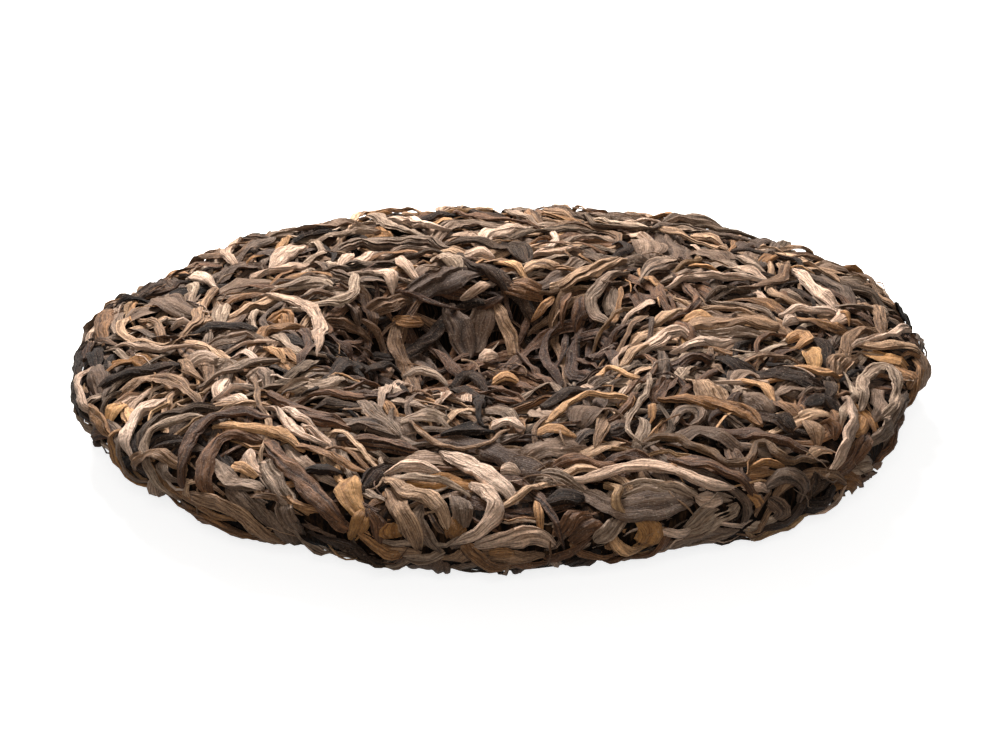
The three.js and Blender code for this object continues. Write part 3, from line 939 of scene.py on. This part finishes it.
def random_route(leaf, length, start):
    """A route through a spot, along the grain, with slow bends and perhaps a curled tip"""
    point, normal = nearest(start)
    heading = grain(point, normal)
    kind = leaf.kind
    half = max(2, round(length / STRIDE / 2))
    steps = np.arange(-half, half + 1)
    bend = rng.uniform(-kind.bend, kind.bend)
    bend = bend + kind.bend * np.sin(steps / half * rng.uniform(1, 3) + rng.uniform(0, 6))
    on_rim = point.z < RIM_HEIGHT + 2
    if rng.random() < kind.hook and not on_rim:
        side = rng.choice([-1, 1])
        from_middle = steps * rng.choice([-1, 1]) / half
        bend = bend + side * CURL * smoothstep(from_middle, CURL_FROM, 1)
    turns = bend * STRIDE
    ahead = walk(point, heading, turns[half + 1 :])
    behind = walk(point, -heading, -turns[:half][::-1])
    return Route(behind[::-1] + [(point, normal)] + ahead)


PALEST = 0.7  # tone of the buds that aren't traced
WALL_TONE, FLOOR_TONE = 0.0, 0.4  # down in the dimple, as painted shade: darkest on its wall, lighter on its floor
FLOOR_TO, WALL_AT, INSIDE_TO, OUTSIDE_FROM = 14.0, 21.0, 30.0, 39.0  # from its middle
EVENNESS = 0.35  # share of the spread of random tones that is kept there, under the painted shade
SHADED_KINDS = {SILVER: TAUPE, GOLDEN: UMBER, TAN: UMBER, GREY: UMBER}  # painted shade: the darker kind that takes a pale kind's place there


def in_dimple(point):
    """How far a point is inside the dimple, from 0, outside, to 1, and the tone that paints shade there,
    darkest on the wall
    """
    if not DIMPLE_LOWEST < point[2] < DIMPLE_HIGHEST:
        return 0.0, 0.5
    from_dimple = math.hypot(point[0] - DIMPLE[0], point[1] - DIMPLE[1])
    tone = float(np.interp(from_dimple, (FLOOR_TO, WALL_AT), (FLOOR_TONE, WALL_TONE)))
    return 1 - float(smoothstep(from_dimple, INSIDE_TO, OUTSIDE_FROM)), tone


def open_spots(limit):
    return np.flatnonzero(pile.depth < limit)


def pick(shares):
    names = list(shares)
    weights = np.array([shares[name] for name in names], float)
    return names[rng.choice(len(names), p=weights / weights.sum())]


def calmed(leaf):
    """The same leaf lying flat and low, for the foot's rim, where loose leaves would hang in the air"""
    return replace(leaf, tilt=0.0, sink=abs(leaf.sink) / 2)


LENGTH_SKEW = 1.1
RECOUNT = 8  # leaves laid between two counts of the open spots


def fill(shares, kinds, limit, least_open, tries, misses, detail, foot_detail, sink, deepest):
    """Lays random leaves over open spots until several in a row don't find a place"""
    missed = 0
    laid = 0
    spots = open_spots(limit)
    while missed < misses and len(spots):
        name = pick(shares)
        kind = kinds[name]
        leaf = new_leaf(kind, sink)
        best = None
        for _ in range(tries):
            start = Vector(pile.spots[spots[rng.integers(len(spots))]])
            if start.z < RIM_HEIGHT:
                leaf = calmed(leaf)
            route = random_route(leaf, skewed(kind.length, LENGTH_SKEW), start)
            place = seek(leaf, route, limit)
            fits = place.open > least_open and place.tops.mean() < deepest
            if fits and (best is None or place.open > best[1].open):
                best = route, place
        if best is None:
            missed += 1
            continue
        missed = 0
        route, place = best
        press(leaf, route, place)
        middle = route.points[len(route.points) // 2]
        low = middle[2] < 1 and math.hypot(middle[0], middle[1]) < RIM_RADIUS
        # down in the dimple the tone is pulled toward painted shade, and pale kinds give way to darker ones
        inside, shaded_tone = in_dimple(middle)
        tone = rng.random() * (PALEST if name == SILVER else 1)
        tone += inside * (shaded_tone + EVENNESS * (tone - 0.5) - tone)
        if inside > 0.5:
            name = SHADED_KINDS.get(name, name)
        make(leaf, route, place, name, float(np.clip(tone, 0, 1)), *(foot_detail if low else detail))
        laid += 1
        if laid % RECOUNT == 0:
            spots = open_spots(limit)


THREADS = 260
THREAD = Kind(length=(3, 10), width=(0.3, 0.7), flatness=(0.7, 1.0), lobes=(3, 3), crease=0.2, hook=0.5,
              wobble=0.5, bend=0.09)
THREAD_SINK = (-0.25, 0.3)
THREAD_DIVE = 0.5  # of a leaf's
THREAD_DETAIL = (0.5, 1.6)


def lay_threads():
    """Fine strands that have come loose from the leaves and lie across them"""
    for _ in range(THREADS):
        leaf = new_leaf(THREAD, THREAD_SINK)
        start = Vector(pile.spots[rng.integers(len(pile.spots))])
        if start.z < RIM_HEIGHT:
            continue
        route = random_route(leaf, skewed(THREAD.length), start)
        shares = np.linspace(0, 1, 9)
        tops = leaf.sink + THREAD_DIVE * dive(shares, route.length)
        make(leaf, route, Place(shares, tops), pick(THREAD_SHARES), rng.random(), *THREAD_DETAIL)


TOP_SHARES = {GREY: 25, TAUPE: 20, UMBER: 20, BLACK: 14, SILVER: 8, GOLDEN: 4, BLADE: 7, TAN: 2, STEM: 3}
SLIVER_SHARES = {GREY: 3, TAUPE: 4, UMBER: 4, BLACK: 2, SILVER: 1, GOLDEN: 2}
SLIVERS = dict.fromkeys(SLIVER_SHARES, SLIVER)
THREAD_SHARES = {GREY: 2, TAUPE: 3, UMBER: 2, SILVER: 2, GOLDEN: 2}
UNDER_SHARES = {UNDER_DARK: 3, UNDER_BROWN: 2}
UNDER_KINDS = dict.fromkeys(UNDER_SHARES, UNDER)

lay_standouts()
fill(TOP_SHARES, KINDS, limit=OPEN_DEPTH, least_open=0.6, tries=4, misses=25, detail=TOP_DETAIL,
     foot_detail=(0.5, 3.0), sink=(-0.5, 0.4), deepest=1.6)
fill(TOP_SHARES, KINDS, limit=OPEN_DEPTH, least_open=0.34, tries=5, misses=40, detail=(0.8, 1.8),
     foot_detail=(0.4, 3.5), sink=(-0.3, 0.4), deepest=2.6)
fill(SLIVER_SHARES, SLIVERS, limit=OPEN_DEPTH, least_open=0.3, tries=5, misses=80, detail=(0.6, 1.8),
     foot_detail=(0.4, 3.5), sink=(-0.3, 0.3), deepest=2.6)
fill(TOP_SHARES, KINDS, limit=1.4, least_open=0.3, tries=4, misses=80, detail=(0.5, 2.8),
     foot_detail=(0.4, 4.5), sink=(-0.2, 0.3), deepest=3.0)
fill(UNDER_SHARES, UNDER_KINDS, limit=3.0, least_open=0.3, tries=3, misses=80, detail=(0.5, 3.2),
     foot_detail=(0.4, 5.0), sink=(-0.2, 0.3), deepest=4.4)
lay_threads()


# Materials

def colour(code):
    """A colour from its hex code, as linear values"""
    values = [int(code[i : i + 2], 16) / 255 for i in (0, 2, 4)]
    return [v / 12.92 if v <= 0.04045 else ((v + 0.055) / 1.055) ** 2.4 for v in values] + [1.0]


class Graph:
    """A short way of writing a material's nodes"""

    def __init__(self, name):
        self.material = bpy.data.materials.new(name)
        self.material.use_nodes = True
        self.tree = self.material.node_tree
        self.surface = self.tree.nodes["Principled BSDF"]

    def add(self, kind, settings=None, **sockets):
        node = self.tree.nodes.new("ShaderNode" + kind)
        for key, value in (settings or {}).items():
            setattr(node, key, value)
        for key, value in sockets.items():
            self.put(node, key.replace("_", " "), value)
        return node

    def put(self, node, socket, value):
        target = node.inputs[int(socket) if socket.isdigit() else socket]
        if isinstance(value, bpy.types.NodeSocket):
            self.tree.links.new(value, target)
        else:
            target.default_value = value

    def dress(self, **values):
        """Sets or links sockets of the surface"""
        for socket, value in values.items():
            self.put(self.surface, socket.replace("_", " "), value)

    def attribute(self, name):
        return self.add("Attribute", {"attribute_name": name}).outputs["Fac"]

    def ramp(self, value, stops):
        node = self.add("ValToRGB", Fac=value)
        ramp = node.color_ramp
        while len(ramp.elements) < len(stops):
            ramp.elements.new(0.5)
        for element, (place, code) in zip(ramp.elements, stops):
            element.position = place
            element.color = colour(code)
        return node.outputs["Color"]

    def span(self, value, low, high, to_low, to_high):
        node = self.add("MapRange")
        for socket, number in zip(range(5), (value, low, high, to_low, to_high)):
            self.put(node, str(socket), number)
        return node.outputs["Result"]

    def calculate(self, operation, *values):
        node = self.add("Math", {"operation": operation})
        for socket, value in enumerate(values):
            self.put(node, str(socket), value)
        return node.outputs[0]

    def noise(self, vector, scale, detail=2.0, roughness=0.5):
        node = self.add("TexNoise", Vector=vector, Scale=scale, Detail=detail, Roughness=roughness)
        return node.outputs["Fac"]

    def mix(self, factor, a, b, blend="MIX"):
        node = self.add("Mix", {"data_type": "RGBA", "blend_type": blend})
        for socket, value in (("0", factor), ("6", a), ("7", b)):
            self.put(node, socket, value)
        return node.outputs[2]

    def times(self, a, b):
        return self.mix(1.0, a, b, "MULTIPLY")

    def fibres(self, stretch, detail, roughness):
        """Noise in strands along the leaves"""
        uv = self.add("UVMap", {"uv_map": "Fibres"}).outputs["UV"]
        stretched = self.add("Mapping", Vector=uv, Scale=stretch).outputs["Vector"]
        return self.noise(stretched, 1.0, detail, roughness)

    def bump(self, height, distance):
        return self.add("Bump", Strength=1.0, Distance=distance, Height=height).outputs["Normal"]


# Strands across and along a leaf, in repeats a millimetre, and noise in repeats a metre
COARSE_FIBRES, FINE_FIBRES, CORE_FIBRES = (1.9, 0.09, 1.0), (4.2, 0.2, 1.0), (0.6, 0.14, 1.0)
BLOTCHES, GRIT, SPECKS, WRINKLES = 170.0, 1900.0, 2400.0, 750.0
DUST = "b59c82"
WHITE = (1.0, 1.0, 1.0, 1.0)
WARM_DARK = (0.96, 0.79, 0.6, 1.0)  # what is dark on a leaf, its dark fibres and the painted shade in its creases, is also browner


def leaf_material(name, shades, stain, stain_share=0.35, fibre=0.5, roughness=0.72, fuzz=0.02, dust=0.16,
                  specular=0.22, crease=0.13):
    """Dried leaf: a shade for each leaf, stains, fine fibres along it, painted shade in its creases, and
    ridges made lighter, partly for dust and partly as painted highlight
    """
    g = Graph(name)
    place = g.add("TexCoord").outputs["Object"]
    base = g.ramp(g.attribute("tone"), [(i / (len(shades) - 1), code) for i, code in enumerate(shades)])
    base = g.mix(g.span(g.noise(place, BLOTCHES, 3.0), 0.45, 0.7, 0.0, stain_share), base, colour(stain))
    fine = g.fibres(FINE_FIBRES, 3.0, 0.7)
    strands = g.calculate("ADD", g.fibres(COARSE_FIBRES, 4.0, 0.7), fine)
    light = g.span(strands, 0.84, 1.16, 1 - fibre, 1 + fibre)
    # dark lines where the fine fibres sink in the bump: painted shade in those grooves
    groove = g.span(fine, 0.36, 0.46, 0.64, 1.0)
    grit = g.span(g.noise(place, GRIT, 3.0, 0.7), 0.3, 0.7, 0.7, 1.3)
    # painted shade and highlight: darker toward the creases, down to crease, and lighter on the ridges,
    # partly for dust
    shade = g.span(g.attribute("ridge"), 0.0, 0.9, crease, 1.2)
    # painted shade: the darker parts, creases among them, are tinted browner too
    warmth = g.mix(g.span(g.calculate("MULTIPLY", light, shade), 0.3, 1.1, 0.0, 1.0), WARM_DARK, WHITE)
    for factor in (light, groove, grit, shade, warmth):
        base = g.times(base, factor)
    base = g.mix(g.span(g.noise(place, SPECKS), 0.58, 0.74, 0.0, 2 * dust), base, colour(DUST))
    wrinkles = g.calculate("MULTIPLY_ADD", g.noise(place, WRINKLES, 4.0, 0.65), 1.1, strands)
    g.dress(Base_Color=base, Roughness=g.span(strands, 0.7, 1.3, roughness + 0.12, roughness - 0.1),
            Specular_IOR_Level=specular, Sheen_Weight=fuzz, Sheen_Roughness=0.5,
            Normal=g.bump(wrinkles, 0.00055))
    return g.material


def core_material():
    """What shows deep between the leaves: painted shade, near-black with browner strands that run down the
    side, in place of the shaded leaves further in
    """
    g = Graph("core_painted_shade")
    strands = g.fibres(CORE_FIBRES, 4.0, 0.6)
    # painted shade: near-black with browner strands, for the shade deep in the gaps
    base = g.ramp(strands, [(0.4, "050302"), (0.52, "1a1009"), (0.68, "402c1c")])
    g.dress(Base_Color=base, Roughness=1.0, Specular_IOR_Level=0.05, Normal=g.bump(strands, 0.004))
    return g.material


# crease is how dark the painted shade in a leaf's creases gets
MATERIALS = {
    GREY: dict(shades=["4b392b", "755f4d", "a78e77"], stain="5a3820"),
    TAUPE: dict(shades=["5a402b", "8a6a4e", "ba9676"], stain="4f321d"),
    UMBER: dict(shades=["3f2614", "66442a", "906842"], stain="331e0e"),
    BLACK: dict(shades=["18100a", "34251a", "5c4b3c"], stain="3d2310", roughness=0.78, dust=0.12,
                specular=0.12, fibre=0.6),
    SILVER: dict(shades=["9a7c64", "b6967d", "d4b8a2"], stain="8a6242", stain_share=0.4, fibre=0.4, fuzz=0.12,
                 dust=0.06, crease=0.58),
    GOLDEN: dict(shades=["6a4729", "94683e", "c4966a"], stain="583818", fibre=0.4, crease=0.42),
    TAN: dict(shades=["6b4826", "956636", "c29360"], stain="5f3b16", fibre=0.22, crease=0.42,
              stain_share=0.5),
    BLADE: dict(shades=["443329", "68513f", "927762"], stain="55381f", fibre=0.28, stain_share=0.5),
    STEM: dict(shades=["4f3725", "80603f", "aa855f"], stain="432b1a", fibre=0.4),
    # deep leaves, whose dark shades are painted shade
    UNDER_DARK: dict(shades=["160c05", "2b1a0d", "442d19"], stain="1c1007", specular=0.08),
    UNDER_BROWN: dict(shades=["281707", "442810", "61401f"], stain="1c1007", specular=0.08),
}


# The core under the leaves

CORE_DEPTH = 4.2
RIM_CORE_DEPTH = 2.1  # on the rim, where gaps would otherwise show what is behind
RIM_ABOVE, RIM_BELOW = 82.0, 70.0  # where the rim starts on the upper and the lower half
RIM_RUN = 10.0  # from there to the full rim
FOOT_CORE_DEPTH = 1.2  # at the foot's edge, which the floor shows through most
FOOT_EDGE_OUT, FOOT_EDGE_UP = (54.0, 62.0), (4.0, 9.0)  # where that edge starts, and where it ends
CORE_WAVES = dict(count=4, shortest=5, step=1.3)
CORE_ROUGHNESS, EVENED = 0.6, 0.35  # of its depth, and how much less of that there is at the edges


def skin_normals(share, angle, step=0.0004, turn=0.01):
    down = skin(np.minimum(share + step, 1), angle) - skin(np.maximum(share - step, 0), angle)
    across = skin(share, angle + turn) - skin(share, angle - turn)
    return unit(np.cross(down, across))


def make_core(rows=70, around=160):
    share, angle = skin_net(rows, around, edge=0.0004)
    outer = skin(share, angle)
    out = np.hypot(outer[..., 0], outer[..., 1])
    on_rim = smoothstep(out - np.where(share < 0.5, RIM_ABOVE, RIM_BELOW), 0, RIM_RUN)
    at_foot = smoothstep(out, *FOOT_EDGE_OUT) * (1 - smoothstep(outer[..., 2], *FOOT_EDGE_UP))
    on_foot_edge = (share > 0.5) * at_foot
    depth = CORE_DEPTH + (RIM_CORE_DEPTH - CORE_DEPTH) * on_rim
    depth += (FOOT_CORE_DEPTH - depth) * on_foot_edge
    depth += (CORE_ROUGHNESS - EVENED * np.maximum(on_rim, on_foot_edge)) * waves(outer, **CORE_WAVES)
    points = outer - skin_normals(share, angle) * depth[..., None]
    core = batch("core")
    tips = np.stack([points[0].mean(axis=0), points[-1].mean(axis=0)])
    lengths = np.linspace(0, SECTION_LENGTH, rows)
    core.add(points, tips, 0.5, np.full((rows, around), 0.5), lengths, 2 * math.pi * CAKE_RADIUS)


make_core()


# Assembly

for name, made in batches.items():
    piece = made.build()
    piece.data.materials.append(core_material() if name == "core" else leaf_material(name, **MATERIALS[name]))
    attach(piece, "root")
    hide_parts("tea_cake")


# Stage

def make_floor():
    bpy.ops.mesh.primitive_plane_add(size=6.0, location=(0, 0, -0.0002))
    floor = bpy.context.object
    floor.name = "floor"
    g = Graph("pale_floor")
    g.dress(Base_Color=colour("c8c6c3"), Roughness=0.9, Emission_Color=WHITE, Emission_Strength=0.8)
    floor.data.materials.append(g.material)
    floor.visible_diffuse = False


def make_backdrop():
    """A white dome behind everything, which the camera sees but which lights nothing"""
    bpy.ops.mesh.primitive_uv_sphere_add(segments=32, ring_count=16, radius=2.9)
    backdrop = bpy.context.object
    backdrop.name = "backdrop"
    g = Graph("white_backdrop")
    g.dress(Base_Color=colour("000000"), Emission_Color=WHITE, Emission_Strength=1.0)
    backdrop.data.materials.append(g.material)
    backdrop.visible_diffuse = backdrop.visible_glossy = backdrop.visible_shadow = False


def make_area(name, place, size, power):
    light = bpy.data.lights.new(name, "AREA")
    light.energy = power
    light.size = size
    lamp = bpy.data.objects.new(name, light)
    lamp.location = place
    lamp.rotation_euler = (-Vector(place)).to_track_quat("-Z", "Y").to_euler()
    bpy.context.scene.collection.objects.link(lamp)


def make_lights():
    world = bpy.data.worlds.new("studio")
    world.use_nodes = True
    tree = world.node_tree
    background = tree.nodes["Background"]
    background.inputs["Strength"].default_value = 0.17
    direction = tree.nodes.new("ShaderNodeSeparateXYZ")
    tree.links.new(tree.nodes.new("ShaderNodeTexCoord").outputs["Generated"], direction.inputs[0])
    rise = tree.nodes.new("ShaderNodeMapRange")
    tree.links.new(direction.outputs["Z"], rise.inputs["Value"])
    for socket, number in (("From Min", -0.3), ("From Max", 0.3), ("To Min", 0.2), ("To Max", 1.0)):
        rise.inputs[socket].default_value = number
    tree.links.new(rise.outputs["Result"], background.inputs["Color"])
    bpy.context.scene.world = world
    make_area("overhead", (-0.1, 0.31, 0.39), 0.26, 8.4)
    make_area("front", (0.0, -1.0, 0.56), 0.3, 4.8)


make_floor()
make_backdrop()
make_lights()
bpy.context.scene.view_settings.view_transform = "Standard"
